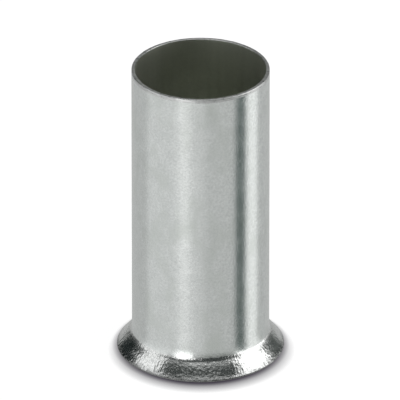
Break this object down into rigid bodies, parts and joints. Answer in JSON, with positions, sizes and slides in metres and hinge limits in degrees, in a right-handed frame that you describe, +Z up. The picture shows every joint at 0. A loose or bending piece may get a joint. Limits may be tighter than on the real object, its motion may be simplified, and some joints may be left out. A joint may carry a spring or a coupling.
{
  "type": "wire ferrule",
  "caption": "Bare wire ferrule: a thin tinned copper tube, cut square at its tip and flared to a funnel at its mouth, for crimping onto a stranded conductor.",
  "frame": {"origin": "centre of the circle that the flare's lip stands on", "axes": "+Z up the ferrule's axis, from the flare to the cut end; X and Y are any pair across it"},
  "size_m": [0.0098, 0.0098, 0.018],
  "materials": {
    "tinned_copper": "satin electro-tinned copper, matt on the sleeve and glossier on the flare"
  },
  "bodies": {
    "root": {"ferrule": "tinned_copper"}
  },
  "joints": []
}
